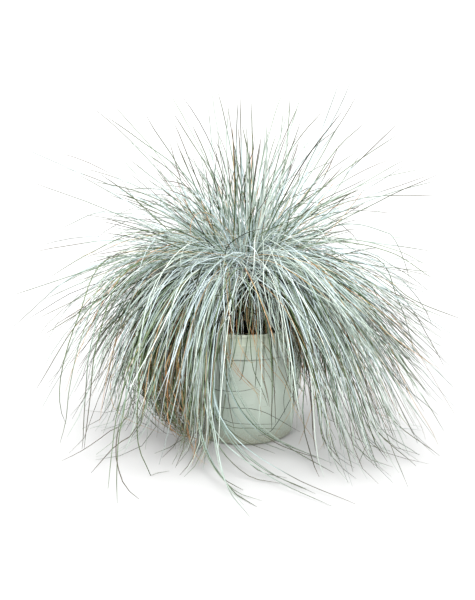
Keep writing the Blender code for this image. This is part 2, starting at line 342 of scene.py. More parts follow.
def leafTemplate(rings):
    # faces and unit-square bake layout of one needle: loops, face sizes, uv
    loops, sizes, layout = [], [], []
    for ring in range(rings - 1):
        for side in range(3):
            after = (side + 1) % 3
            loops += [ring * 3 + side, ring * 3 + after, ring * 3 + 3 + after, ring * 3 + 3 + side]
            sizes.append(4)
            low, high = ring / (rings - 1), (ring + 1) / (rings - 1)
            left, right = side / 3, (side + 1) / 3
            layout += [(left, low), (right, low), (right, high), (left, high)]
    last = (rings - 1) * 3
    for corners, level in (((2, 1, 0), 0.0), ((last, last + 1, last + 2), 1.0)):
        loops += corners
        sizes.append(3)
        layout += [(0.0, level), (0.33, level), (0.66, level)]
    return np.array(loops), np.array(sizes), np.array(layout)


def needleCorners(paths, widths, roll):
    # three corners round each ring of each path
    along = np.gradient(paths, axis=1)
    along /= np.linalg.norm(along, axis=2, keepdims=True) + 1e-12
    reach = paths[:, -1] - paths[:, 0]
    flat = np.stack([-reach[:, 1], reach[:, 0], np.zeros(len(paths))], axis=1)
    flat /= np.linalg.norm(flat, axis=1, keepdims=True) + 1e-9
    across = flat[:, None, :] - (flat[:, None, :] * along).sum(axis=2, keepdims=True) * along
    across /= np.linalg.norm(across, axis=2, keepdims=True) + 1e-9
    upper = np.cross(along, across)
    corners = []
    for side in range(3):
        turn = (roll + 2 * np.pi * side / 3)[:, :, None]
        offset = np.cos(turn) * across + leafForm["thickness"] * np.sin(turn) * upper
        corners.append(paths + 0.5 * widths[:, :, None] * offset)
    return np.stack(corners, axis=2).reshape(-1, 3)


def leafPiece(name, paths, widths, facts, material):
    # one mesh of many needles, with the facts of each leaf for its material
    count, rings, _ = paths.shape
    roll = facts["roll"][:, None] + facts["twist"][:, None] * np.linspace(0, 1, rings)[None, :]
    points = needleCorners(paths, widths, roll)
    loops, sizes, layout = leafTemplate(rings)
    perLeaf = rings * 3
    allLoops = (loops[None, :] + perLeaf * np.arange(count)[:, None]).ravel()
    allSizes = np.tile(sizes, count)
    starts = np.concatenate([[0], np.cumsum(allSizes)[:-1]])
    mesh = bpy.data.meshes.new(name)
    mesh.vertices.add(len(points))
    mesh.vertices.foreach_set("co", points.ravel().astype(np.float32))
    mesh.loops.add(len(allLoops))
    mesh.loops.foreach_set("vertex_index", allLoops.astype(np.int32))
    mesh.polygons.add(len(allSizes))
    mesh.polygons.foreach_set("loop_start", starts.astype(np.int32))
    mesh.polygons.foreach_set("use_smooth", np.ones(len(allSizes), dtype=bool))
    mesh.update(calc_edges=True)

    columns = max(1, int(math.sqrt(count * 3)))   # each leaf has its own cell of the bake layout
    rows = math.ceil(count / columns)
    cell = np.stack([np.arange(count) % columns, np.arange(count) // columns], axis=1)
    uv = (cell[:, None, :] + 0.06 + 0.88 * layout[None, :, :]) / np.array([columns, rows])
    mesh.uv_layers.new(name="OFBake").data.foreach_set("uv", uv.ravel().astype(np.float32))

    carried = {"along": np.tile(np.repeat(np.linspace(0, 1, rings), 3), count)}
    for key in ("tone", "age", "tipDry", "old", "fade"):
        carried[key] = np.repeat(facts[key], perLeaf)
    for key, data in carried.items():
        mesh.attributes.new(key, "FLOAT", "POINT").data.foreach_set("value", data.astype(np.float32))
    mesh.materials.append(material)
    mesh.validate()
    thing = bpy.data.objects.new(name, mesh)
    bpy.context.scene.collection.objects.link(thing)
    return thing


def spreadOver(sectors, count, rng):
    # azimuths spread evenly over sectors (low, high, weight)
    low, high, weight = (np.array(column, dtype=float) for column in zip(*sectors))
    share = (high - low) * weight
    pick = rng.choice(len(sectors), size=count, p=share / share.sum())
    return low[pick] + (high - low)[pick] * rng.random(count)


def rootPlaces(azimuth, group, rng):
    # leaves come out of a dome of sheaths, mostly on the side they lean to
    count = len(azimuth)
    turn = np.radians(azimuth + group["rootTurn"] * rng.standard_normal(count))
    out = between(group["rootOut"], np.sqrt(rng.random(count)))
    dome = np.sqrt(np.clip(1 - (out / crown["spread"]) ** 2, 0, 1))
    rise = crown["rise"] * dome * rng.uniform(0.3, 1.0, count) + crown["lift"]
    return np.stack([out * np.cos(turn), out * np.sin(turn), rise], axis=1)


# What all leaves share, in degrees, metres and cycles along a leaf
growth = {
    "azimuth": 4.0,          # how much the leaves of one shoot differ, for each unit of "apart"
    "lean": 3.0,
    "bend": 9.0,
    "waves": (0.5, 1.6),
    "ripples": (1.8, 3.6),
    "kink": (-55, 70),
    "kinkAt": (0.35, 0.9),
    "layer": 0.0035,         # leaves on the ground lie over each other up to this height
    "thinMore": 1.3,         # thin leaves are commoner than wide ones
    "dryAge": (0.55, 1.0),
    "freshAge": 0.16,
    "dryWidth": 0.68,
    "twist": 0.5,
}


def growLeaves(group, rng):
    # shoots first, then the leaves of each shoot, which differ a little from it
    shoots, each = group["shoots"], group["each"]
    shoot = {"azimuth": spreadOver(group["sectors"], shoots, rng)}
    for key in ("lean", "bend", "early"):
        shoot[key] = between(group[key], rng.random(shoots))
    leaf = {key: np.repeat(value, each) for key, value in shoot.items()}
    count = shoots * each

    def normal(size):
        return size * rng.standard_normal(count)

    for key in ("azimuth", "lean", "bend"):
        leaf[key] = leaf[key] + normal(growth[key] * group["apart"])
    leaf["lean"] = np.abs(leaf["lean"])
    leaf["length"] = between(group["length"], rng.beta(*group["long"], count))
    leaf["heading"] = normal(group["astray"])
    leaf["sweep"] = normal(group["wander"])
    leaf["wobble"] = normal(group["wobble"])
    leaf["sway"] = normal(group["wobble"])
    leaf["waves"] = rng.uniform(*growth["waves"], count)
    leaf["phase"] = rng.random(count)
    bent = rng.random(count) < group["bent"]
    leaf["kink"] = np.where(bent, rng.uniform(*growth["kink"], count), 0.0)
    leaf["kinkAt"] = rng.uniform(*growth["kinkAt"], count)
    leaf["root"] = rootPlaces(leaf["azimuth"], group, rng)
    leaf["root"][:, 2] -= between(group["drop"], rng.random(count))
    leaf["ripple"] = normal(group["ripple"])
    leaf["ripples"] = rng.uniform(*growth["ripples"], count)
    leaf["layer"] = growth["layer"] * rng.random(count) ** 2
    leaf["width"] = between(group["width"], rng.random(count) ** growth["thinMore"])
    leaf["tone"] = np.clip(group["tone"] + normal(group["toneSpread"]), 0, 1)
    dry = rng.random(count) < group["dry"]
    dryAge, freshAge = rng.uniform(*growth["dryAge"], count), growth["freshAge"] * rng.random(count) ** 2
    leaf["age"] = np.where(dry, dryAge, freshAge)
    leaf["width"] *= np.where(dry, growth["dryWidth"], 1.0)
    leaf["tipDry"] = rng.random(count) ** 1.2
    leaf["old"] = between(group["old"], rng.random(count))
    leaf["fade"] = np.full(count, group["fade"])
    leaf["reach"] = between(group["reach"], rng.random(count) ** group["reachBias"])
    leaf["roll"] = rng.uniform(0, 2 * np.pi, count)
    leaf["twist"] = normal(growth["twist"])
    return leaf


# Leaf finish: a pale waxy bloom over blue-green, straw and rust where a leaf has died; darker tips are
# painted shade, and near-black bases are dead sheath colour with painted shade

leafFinish = {
    "tones": (
        (0.00, (0.014, 0.017, 0.006)),
        (0.15, (0.046, 0.064, 0.026)),
        (0.35, (0.150, 0.200, 0.138)),
        (0.60, (0.455, 0.545, 0.530)),
        (1.00, (0.740, 0.815, 0.820)),
    ),
    "olive": (0.93, 1.00, 0.62),
    "greener": (1.00, 1.00, 0.91),
    "bluer": (0.96, 1.00, 1.03),
    "straw": (0.600, 0.445, 0.225),
    "rust": (0.460, 0.235, 0.100),
    "tip": (0.105, 0.092, 0.066),
    # near-black leaf base: dead sheath colour and painted shade inside the clump
    "shadedDeadBase": (0.010, 0.011, 0.005),
    "streaks": ((0.25, (0.45, 0.45, 0.45)), (0.75, (1.0, 1.0, 1.0))),
}


def leafMaterial(name, finish):
    paint = Paint(name, Specular_IOR_Level=0.12)
    facts = ("along", "tone", "age", "tipDry", "old", "fade")
    along, tone, age, tipDry, old, fade = (paint.fact(key) for key in facts)
    where = paint.place()
    patch = paint.cloud(where, 55.0, 3.0)
    streak = paint.cloud(where, 420.0, 2.0)
    # each leaf darkens towards its tip by its tip-shade amount: painted shade, so the outer leaves show no
    # brighter than the shaded core
    shade = tone + 0.08 - along ** 1.3 * fade + (patch - 0.5) * 0.4
    colour = paint.ramp(finish["tones"], shade)
    colour = paint.blend((0.62 - tone).above(0.0, 0.36) * 0.8, colour, finish["olive"], "MULTIPLY")
    tint = paint.blend(tipDry.above(0.25, 0.60), finish["greener"], finish["bluer"])
    colour = paint.blend(1.0, colour, tint, "MULTIPLY")
    dead = paint.blend(paint.cloud(where, 30.0).above(0.40, 0.62), finish["rust"], finish["straw"])
    dying = age.above(0.25, 0.75)
    colour = paint.blend(dying, colour, dead)
    colour = paint.blend((along - 0.80 + tipDry * 0.14).above(0.0, 0.12) * tipDry, colour, finish["tip"])
    # near-black from the base up to the leaf's dead-base share: dead sheaths and painted shade
    colour = paint.blend((old - along + patch * 0.12).above(0.0, 0.16), colour, finish["shadedDeadBase"])
    colour = paint.blend(0.22, colour, paint.ramp(finish["streaks"], streak), "MULTIPLY")
    rough = 0.34 + patch * 0.18 + dying * 0.24
    return paint.finish(colour, rough, streak, 0.25, 0.0002)


freshLeaf = leafMaterial("glaucousLeaf", leafFinish)

# Stretches of azimuth: low, high and how thickly leaves stand there
allRound = ((-180, 180, 1.0),)
frontThin = ((-180, -112, 1.0), (-112, -60, 0.35), (-60, 180, 1.0))
frontGap = ((-180, -116, 1.0), (-116, -100, 0.45), (-100, -70, 0.08), (-70, -50, 0.40),
            (-50, -28, 0.6), (-28, 16, 0.30), (16, 180, 1.0))
frontOpen = ((-180, -150, 0.8), (-150, -122, 0.35), (-122, -112, 0.6), (-112, -48, 0.05),
             (-48, -28, 1.0), (-28, 12, 0.5), (12, 180, 0.9))
overRim = ((-180, -150, 0.8), (-150, -116, 0.60), (-116, -100, 0.45), (-100, -70, 0.08),
           (-70, -50, 0.5), (-50, -28, 0.7), (-28, 12, 0.16), (12, 180, 1.0))
underRim = ((-180, -116, 0.7), (-116, -60, 0.10), (-60, -28, 1.5), (-28, 12, 0.2), (12, 180, 0.9))
crestFront = ((-178, -112, 1.0), (-112, -68, 0.45), (-68, -2, 1.2))
mostlyBack = ((50, 130, 1.0), (150, 200, 0.4), (-10, 30, 0.3))
dryPatches = ((-45, -15, 0.8), (100, 150, 0.8), (196, 230, 1.0))

# What a habit has where its piece and the habit itself don't say
usualHabit = {
    "early": (0.7, 1.8), "long": (1.3, 1.3), "width": (0.0009, 0.0014), "apart": 2.0, "wobble": 6.0,
    "wander": 20.0, "astray": 15.0, "bent": 0.012, "old": (0.0, 0.10), "ripple": 2.2,
    "rootOut": (0.0, 0.026), "rootTurn": 55.0, "toneSpread": 0.28, "drop": (0.0, 0.0), "fade": 0.46,
    "reach": (0.222, 0.222), "reachBias": 2.0,
}
skirt = {"each": 3, "rootOut": (0.010, 0.030), "wander": 22.0, "astray": 14.0, "width": (0.0008, 0.0013)}

# Each piece has one or more habits: how many shoots, how many leaves each, over which stretch
# of azimuth, the angle from the vertical at which they leave, how far and how early they bend
leafPieces = {
    # the upright leaves' pale tone is partly painted light, for the light that comes through the thin top
    # of the fan
    "uprightLeaves": {
        "nodes": "tuft_upright", "tone": 0.82, "fade": 0.58, "dry": 0.02, "width": (0.0011, 0.0016),
        "length": (0.060, 0.200), "long": (1.1, 2.0),
        "habits": {
            "middle": {"shoots": 12, "each": 4, "sectors": allRound, "lean": (0, 8), "bend": (-6, 10),
                       "tone": 0.70, "rootOut": (0.0, 0.012), "length": (0.080, 0.180)},
            "around": {"shoots": 20, "each": 4, "sectors": allRound, "lean": (10, 30), "bend": (-4, 34)},
        },
    },
    "spreadingLeaves": {
        "nodes": "tuft_spreading", "tone": 0.78, "fade": 0.54, "dry": 0.03, "width": (0.0011, 0.0016),
        "length": (0.065, 0.250), "long": (1.1, 2.1),
        "habits": {
            "fan": {"shoots": 60, "each": 3, "sectors": frontThin, "lean": (26, 52), "bend": (2, 52)},
        },
    },
    "archingLeaves": {
        "nodes": "tuft_arching", "tone": 0.66, "dry": 0.05, "length": (0.075, 0.256), "long": (1.1, 2.0),
        "old": (0.02, 0.15),
        "habits": {
            "sides": {"shoots": 86, "each": 3, "sectors": frontGap, "lean": (42, 68), "bend": (14, 92),
                      "wander": 28.0, "astray": 22.0, "apart": 2.2, "reach": (0.120, 0.222),
                      "reachBias": 2.2},
            "longest": {"shoots": 14, "each": 2, "sectors": mostlyBack, "lean": (44, 64),
                        "bend": (20, 56), "length": (0.225, 0.285), "wander": 10.0, "astray": 8.0,
                        "reach": (0.200, 0.223)},
        },
    },
    "fallingLeaves": {
        "nodes": "tuft_falling", "tone": 0.74, "dry": 0.06, "fade": 0.30,
        "habits": {
            "bright": {"shoots": 106, "each": 2, "sectors": overRim, "lean": (24, 62), "bend": (92, 128),
                       "apart": 2.4, "early": (1.5, 3.4), "length": (0.110, 0.250), "old": (0.0, 0.12),
                       "rootOut": (0.006, 0.030), "rootTurn": 85.0, "wander": 36.0, "astray": 30.0,
                       "width": (0.0008, 0.0012), "reach": (0.100, 0.185), "reachBias": 1.7},
            # leaves under the bright ones; their near-black tone is painted shade
            "shaded": {"shoots": 60, "each": 4, "sectors": underRim, "lean": (48, 82), "bend": (66, 104),
                       "early": (1.0, 2.8), "length": (0.100, 0.230), "old": (0.30, 0.70),
                       "rootOut": (0.010, 0.031), "wander": 32.0, "astray": 24.0, "tone": 0.04,
                       "toneSpread": 0.20, "width": (0.0008, 0.0014), "reach": (0.105, 0.180),
                       "reachBias": 1.6},
            "rightSkirt": {**skirt, "shoots": 118, "sectors": ((-56, -26, 1.0),), "lean": (14, 38),
                           "bend": (104, 122), "apart": 1.6, "early": (3.4, 5.0),
                           "length": (0.220, 0.350), "old": (0.03, 0.22), "reach": (0.165, 0.214)},
            "leftSkirt": {**skirt, "shoots": 64, "sectors": ((-182, -138, 1.0),), "lean": (16, 54),
                          "bend": (104, 124), "apart": 1.8, "early": (2.2, 4.0),
                          "length": (0.215, 0.325), "old": (0.02, 0.16), "reach": (0.140, 0.205)},
            "crest": {"shoots": 165, "each": 3, "sectors": crestFront, "lean": (6, 70),
                      "bend": (104, 160), "early": (1.0, 3.2), "length": (0.060, 0.215),
                      "wobble": 18.0, "wander": 62.0, "astray": 42.0, "rootTurn": 70.0,
                      "tone": 0.94, "toneSpread": 0.14, "old": (0.0, 0.04), "apart": 3.0,
                      "rootOut": (0.004, 0.031), "width": (0.0006, 0.0010), "fade": 0.20,
                      "reach": (0.090, 0.170)},
            # leaves under the crest; their near-black tone is painted shade
            "crestShade": {"shoots": 56, "each": 3, "sectors": ((-178, -2, 1.0),), "lean": (46, 78),
                           "bend": (80, 120), "early": (1.0, 3.0), "length": (0.060, 0.150),
                           "wobble": 14.0, "wander": 40.0, "astray": 24.0, "rootTurn": 45.0,
                           "tone": 0.06, "toneSpread": 0.10, "old": (0.0, 0.4), "apart": 3.0,
                           "rootOut": (0.004, 0.030), "width": (0.0008, 0.0013), "fade": 0.20,
                           "reach": (0.090, 0.160), "drop": (0.004, 0.014)},
            "tangle": {"shoots": 130, "each": 1, "sectors": ((-175, -5, 1.0),), "lean": (20, 95),
                       "bend": (40, 150), "early": (0.8, 2.5), "length": (0.050, 0.130),
                       "wobble": 26.0, "wander": 100.0, "astray": 80.0, "rootTurn": 120.0,
                       "rootOut": (0.010, 0.031), "tone": 0.96, "toneSpread": 0.10,
                       "old": (0.0, 0.02), "width": (0.0006, 0.0010), "fade": 0.10},
            "fringe": {"shoots": 80, "each": 2, "sectors": ((-130, -50, 1.0),), "lean": (30, 80),
                       "bend": (80, 140), "early": (1.0, 3.0), "length": (0.035, 0.082),
                       "wobble": 18.0, "wander": 60.0, "astray": 40.0, "tone": 0.90,
                       "toneSpread": 0.16, "apart": 3.0, "rootOut": (0.012, 0.031),
                       "width": (0.0006, 0.0009), "fade": 0.1},
        },
    },
    # the lowest layer, near-black with dark bases: painted shade under the skirt
    "trailingLeaves": {
        "nodes": "tuft_trailing", "tone": 0.08, "toneSpread": 0.22, "dry": 0.10,
        "habits": {
            "trail": {"shoots": 180, "each": 4, "sectors": frontOpen, "lean": (62, 88), "bend": (70, 100),
                      "apart": 1.8, "early": (1.4, 3.4), "length": (0.100, 0.206), "fade": 0.20,
                      "old": (0.22, 0.62), "rootOut": (0.010, 0.031), "wander": 28.0, "astray": 18.0,
                      "width": (0.0008, 0.0014)},
        },
    },
    "hangingLock": {
        "nodes": "tuft_hanging", "tone": 0.72, "dry": 0.03, "fade": 0.20, "width": (0.0009, 0.0013),
        "habits": {
            "lock": {"shoots": 46, "each": 5, "sectors": ((-130, -106, 1.0),), "lean": (40, 80),
                     "bend": (98, 132), "early": (2.2, 4.4), "length": (0.140, 0.236), "apart": 0.9,
                     "rootOut": (0.012, 0.030), "rootTurn": 25.0, "astray": 7.0, "wander": 10.0},
        },
    },
    "dryLeaves": {
        "nodes": "tuft_dry", "slot": "dry_leaf", "tone": 0.30, "dry": 0.75,
        "habits": {
            "low": {"shoots": 76, "each": 5, "sectors": dryPatches, "lean": (76, 92), "bend": (84, 104),
                    "early": (1.4, 3.0), "length": (0.080, 0.160), "apart": 1.8, "wobble": 12.0,
                    "wander": 30.0, "width": (0.0006, 0.0012), "old": (0.10, 0.50),
                    "rootOut": (0.010, 0.031)},
        },
    },
}
plantReach = 0.226           # no tip stands further out than this
plantTop = 0.342

# In front of the pot the clump parts. Each side of a gap is x at the gap's top and how fast
# it widens downwards; kept is the share of the leaves that may cross it all the same
parting = {
    "pot": {"left": (-0.004, 0.10), "right": (0.020, 0.55), "height": (0.028, 0.112),
            "front": -0.030, "kept": 0.10},
    "potEdge": {"left": (-0.026, 0.04), "right": (-0.004, -0.10), "height": (0.024, 0.112),
                "front": -0.030, "kept": 0.26},
    "mat": {"left": (-0.096, 0.0), "right": (-0.054, 0.0), "height": (0.012, 0.078),
            "front": -0.020, "kept": 0.34},
    "crown": {"left": (-0.004, 0.0), "right": (0.015, 0.0), "height": (0.112, 0.152),
              "front": -0.012, "kept": 0.24},
}


def crossesGap(paths, gap):
    x, y, z = np.moveaxis(paths, 2, 0)
    (left, leftWiden), (right, rightWiden), (low, high) = gap["left"], gap["right"], gap["height"]
    inside = (x > left - leftWiden * (high - z)) & (x < right + rightWiden * (high - z))
    inside &= (z > low) & (z < high) & (y < gap["front"])
    return inside.any(axis=1)


def withinReach(leaf):
    # shortens the leaves whose tips would pass their own reach or the plant's size
    paths = bendLeaves(leaf)
    outward = np.hypot(paths[:, :, 0], paths[:, :, 1]).max(axis=1)
    start, top = paths[:, 0, 2], paths[:, :, 2].max(axis=1)
    share = np.minimum(plantReach, leaf["reach"]) / (outward + 1e-9)
    share = np.minimum(share, (plantTop - start) / (top - start + 1e-9))
    leaf["length"] *= np.minimum(1.0, share)


def growHabits(values, rng):
    grown = [growLeaves({**usualHabit, **values, **habit}, rng) for habit in values["habits"].values()]
    return {key: np.concatenate([part[key] for part in grown]) for key in grown[0]}


def makeLeafPiece(name, values, rng):
    leaf = growHabits(values, rng)
    withinReach(leaf)
    paths = bendLeaves(leaf)
    kept = np.ones(len(paths), dtype=bool)
    for gap in parting.values():
        kept &= ~crossesGap(paths, gap) | (rng.random(len(paths)) < gap["kept"])
    leaf = {key: value[kept] for key, value in leaf.items()}
    piece = leafPiece(name, paths[kept], leafWidths(leaf), leaf, freshLeaf)
    settle(piece, nodesOf(values["nodes"]))


rng = np.random.default_rng(33)   # all that is random comes from here, in the order of this file
for name, values in leafPieces.items():
    makeLeafPiece(name, values, rng)


# Single leaves that stand out in the photo: points along each as column, row and depth in mm

singleRings = 25
usualSingle = {"tone": 0.44, "age": 0.0, "width": 0.0013, "copies": 1, "loose": 0.0}
singleLeaves = {
    "top": {"tone": 0.48, "width": 0.0014, "leaves": (
        ((235, 255, 0), (190, 180, 15), (140, 140, 25), (106, 116, 30)),
        ((238, 250, 5), (215, 180, 10), (185, 120, 15), (170, 94, 20)),
        ((240, 250, -5), (228, 180, -10), (216, 120, -12), (212, 91, -14)),
        ((242, 250, 5), (236, 180, 10), (225, 120, 20), (218, 92, 25)),
        ((246, 250, 0), (258, 180, 0), (273, 120, 5), (283, 91, 10)),
        ((248, 250, -5), (262, 190, -10), (283, 140, -15), (297, 108, -20)),
        ((250, 250, 5), (268, 190, 10), (298, 140, 15), (322, 112, 20)),
        ((250, 252, -5), (275, 200, -10), (312, 150, -10), (336, 130, -10)),
        ((252, 254, 0), (290, 215, 5), (345, 170, 10), (397, 135, 10)),
        ((254, 256, 0), (310, 225, 0), (385, 195, 0), (435, 181, 0)),
        ((228, 258, 0), (170, 215, 5), (110, 185, 10), (66, 168, 10)),
        ((224, 260, 0), (160, 228, 5), (105, 212, 5), (62, 228, 5)),
    )},
    "left": {"leaves": (
        ((215, 262, -10), (150, 250, -25), (98, 267, -45), (13, 295, -60)),
        ((214, 264, -10), (140, 255, -20), (75, 275, -30), (13, 327, -35)),
        ((212, 262, 0), (150, 258, 10), (100, 275, 20), (45, 299, 25)),
        ((210, 265, -10), (140, 262, -20), (95, 290, -30), (39, 318, -30)),
        ((210, 266, -15), (150, 270, -40), (100, 300, -60), (45, 334, -70)),
        ((212, 268, -20), (140, 262, -60), (80, 320, -90), (37, 388, -110)),
        ((205, 262, -5), (110, 258, -40), (78, 318, -80), (62, 370, -95), (60, 405, -100), (66, 424, -100)),
        ((205, 264, 0), (118, 262, -50), (84, 330, -90), (70, 385, -100), (66, 420, -100), (60, 443, -105)),
        ((205, 266, -10), (120, 270, -60), (92, 340, -90), (85, 400, -95), (83, 440, -95), (82, 449, -95)),
        ((208, 268, -12), (130, 268, -60), (98, 340, -100), (90, 400, -110), (84, 450, -115)),
        ((205, 268, -15), (160, 300, -70), (129, 411, -90), (111, 430, -92),
         (83, 450, -93), (61, 461, -93)),
        ((208, 270, -20), (175, 330, -90), (137, 426, -120), (115, 446, -125), (91, 473, -127)),
        ((200, 270, -20), (150, 300, -80), (120, 400, -120), (112, 450, -140), (108, 489, -163)),
        ((200, 270, -20), (150, 310, -90), (122, 420, -140), (117, 470, -170), (116, 504, -198)),
        ((202, 270, -20), (155, 310, -90), (118, 430, -150), (122, 480, -175), (139, 499, -187)),
        ((204, 268, -20), (150, 320, -90), (137, 430, -120), (150, 473, -128),
         (151, 474, -128), (169, 471, -121)),
    )},
    "right": {"leaves": (
        ((262, 262, 0), (330, 240, 5), (390, 245, 10), (430, 251, 10)),
        ((262, 262, -5), (340, 240, -10), (395, 250, -15), (428, 266, -15)),
        ((262, 262, 10), (340, 262, 10), (395, 268, 10), (431, 272, 10)),
        ((262, 260, -20), (330, 242, -30), (390, 252, -40), (432, 278, -45)),
        ((262, 258, 0), (340, 225, 0), (385, 232, 0), (395, 240, 0), (404, 260, 0), (411, 284, 0)),
        ((264, 262, -10), (350, 248, -20), (400, 270, -25), (428, 290, -25)),
        ((264, 264, 0), (360, 262, 10), (410, 298, 25), (461, 319, 35)),
        ((264, 264, 0), (350, 268, -10), (405, 300, -15), (443, 317, -15)),
        ((264, 266, -20), (350, 265, -40), (405, 305, -50), (443, 332, -50)),
        ((264, 266, -10), (360, 262, -20), (405, 300, -30), (430, 340, -30), (444, 366, -30)),
        ((264, 262, 0), (370, 255, 0), (398, 300, 0), (410, 335, 0), (415, 358, 0)),
        ((264, 266, -15), (350, 285, -40), (395, 340, -60), (419, 353, -60)),
        ((264, 268, -20), (355, 290, -50), (395, 345, -70), (424, 372, -75)),
        ((264, 268, -20), (350, 285, -60), (395, 350, -80), (425, 389, -85)),
        ((266, 270, -25), (345, 290, -60), (390, 370, -80), (438, 415, -88)),
        ((266, 272, -20), (350, 320, -60), (385, 410, -80), (440, 456, -81)),
        ((266, 272, -20), (345, 330, -60), (375, 420, -80), (419, 455, -78)),
        ((266, 272, -25), (340, 330, -70), (370, 420, -100), (416, 466, -106)),
        ((266, 272, -20), (350, 330, -80), (385, 430, -130), (408, 487, -158)),
        ((262, 275, -30), (330, 340, -70), (365, 430, -95), (359, 463, -98)),
        ((262, 275, -30), (320, 350, -70), (342, 430, -110), (353, 472, -121)),
    )},
    "front": {"tone": 0.48, "width": 0.0012, "copies": 2, "loose": 0.016, "leaves": (
        ((215, 280, -30), (200, 360, -85), (207, 440, -120), (214, 480, -168), (231, 507, -205)),
        ((210, 280, -35), (196, 380, -90), (205, 445, -120), (232, 490, -168), (257, 507, -203)),
        ((212, 275, -30), (200, 370, -85), (210, 440, -110), (240, 478, -145), (272, 488, -161)),
        ((216, 275, -30), (212, 380, -85), (225, 430, -100), (255, 468, -125), (287, 478, -137)),
        ((218, 275, -30), (214, 380, -85), (232, 430, -98), (270, 462, -118), (314, 480, -141)),
        ((236, 282, -30), (230, 380, -78), (250, 420, -82), (290, 448, -85), (334, 473, -123)),
        ((214, 280, -30), (205, 380, -90), (222, 430, -105), (275, 468, -130), (334, 493, -171)),
        ((210, 280, -30), (196, 380, -90), (203, 440, -115), (220, 475, -148), (243, 490, -165)),
        ((220, 290, -30), (216, 360, -80), (232, 410, -85), (262, 440, -72), (305, 457, -90)),
        ((224, 290, -30), (218, 350, -78), (228, 400, -82), (250, 435, -72), (285, 451, -82)),
        ((226, 290, -30), (222, 350, -78), (240, 405, -80), (270, 438, -68), (322, 462, -100)),
        ((230, 285, -30), (226, 350, -76), (236, 390, -78), (262, 430, -68), (298, 449, -78)),
        ((252, 280, -40), (250, 318, -75), (246, 340, -78), (240, 378, -75), (236, 386, -74)),
        ((262, 275, -40), (277, 310, -76), (277, 345, -76), (290, 372, -70), (304, 392, -66)),
        ((240, 276, -38), (234, 310, -74), (231, 345, -80), (226, 390, -82), (232, 430, -82)),
        ((244, 278, -38), (240, 312, -74), (236, 345, -78), (228, 380, -78), (222, 420, -84)),
        ((250, 280, -38), (262, 318, -76), (276, 350, -74), (296, 385, -68), (318, 420, -72)),
        ((256, 280, -38), (268, 316, -74), (288, 352, -68), (312, 392, -66), (336, 440, -80)),
    )},
    "potArcs": {"tone": 0.12, "width": 0.0009, "leaves": (
        ((212, 275, -30), (205, 350, -80), (210, 385, -80), (225, 391, -74),
         (243, 391, -67), (258, 387, -65)),
        ((210, 290, -40), (206, 380, -85), (218, 406, -78), (240, 408, -68),
         (264, 412, -62), (300, 432, -62)),
        ((212, 300, -40), (208, 400, -85), (225, 420, -75), (246, 424, -66), (277, 424, -62)),
        ((214, 300, -40), (212, 405, -85), (230, 426, -72), (253, 428, -66), (281, 429, -60)),
        ((248, 300, -45), (250, 340, -76), (253, 368, -72), (262, 390, -66), (268, 406, -64)),
        ((300, 330, -60), (300, 370, -66), (290, 400, -66), (272, 430, -64), (258, 436, -66)),
        ((296, 330, -60), (291, 365, -68), (284, 395, -66), (285, 415, -66)),
    )},
    "yellow": {"tone": 0.30, "age": 0.45, "copies": 2, "loose": 0.006, "leaves": (
        ((250, 300, -50), (258, 335, -76), (270, 352, -74), (283, 376, -70),
         (292, 395, -66), (302, 420, -66)),
        ((222, 275, -30), (190, 300, -70), (179, 350, -95), (176, 380, -100), (178, 400, -100)),
        ((224, 275, -30), (200, 310, -60), (188, 360, -75), (184, 410, -80), (190, 440, -84)),
        ((224, 275, -30), (205, 310, -60), (196, 370, -72), (192, 410, -76), (204, 446, -84)),
    )},
    "orange": {"tone": 0.4, "age": 0.95, "width": 0.0006, "copies": 2, "loose": 0.008, "leaves": (
        ((246, 300, -45), (252, 334, -76), (268, 365, -72), (285, 385, -68),
         (295, 410, -66), (318, 446, -70)),
        ((266, 270, -20), (360, 300, -60), (405, 390, -80), (425, 425, -80), (431, 440, -66)),
        ((236, 300, -45), (238, 338, -76), (246, 356, -74), (252, 363, -72), (256, 359, -72)),
        ((258, 300, -45), (260, 338, -74), (266, 372, -70), (272, 388, -66), (277, 405, -65)),
        ((252, 300, -45), (254, 340, -76), (260, 360, -72), (270, 378, -68), (276, 394, -66)),
        ((222, 300, -45), (222, 340, -80), (232, 366, -78), (244, 380, -72), (264, 398, -66)),
        ((228, 300, -45), (230, 350, -78), (240, 372, -74), (256, 392, -68), (262, 415, -66)),
        ((306, 330, -50), (312, 380, -50), (300, 415, -60), (287, 441, -68)),
        ((270, 300, -40), (300, 345, -60), (322, 400, -70), (330, 430, -75), (318, 452, -80)),
        ((204, 276, -25), (178, 330, -80), (182, 400, -95), (192, 448, -90), (205, 461, -92)),
    )},
}


def smoothLine(knots, rings, reach=1.0):
    # a smooth curve through the knots, with its rings evenly spaced; reach is the share kept
    knots = np.vstack([2 * knots[0] - knots[1], knots, 2 * knots[-1] - knots[-2]])
    share = np.linspace(0, 1, 12, endpoint=False)[:, None]
    parts = []
    for first, second, third, fourth in zip(knots, knots[1:], knots[2:], knots[3:]):
        parts.append(0.5 * (2 * second + (third - first) * share
                            + (2 * first - 5 * second + 4 * third - fourth) * share ** 2
                            + (3 * second - 3 * third + fourth - first) * share ** 3))
    line = np.vstack(parts + [knots[-2:-1]])
    run = np.concatenate([[0], np.cumsum(np.linalg.norm(np.diff(line, axis=0), axis=1))])
    even = np.linspace(0, run[-1] * reach, rings)
    return np.stack([np.interp(even, run, line[:, axis]) for axis in range(3)], axis=1)


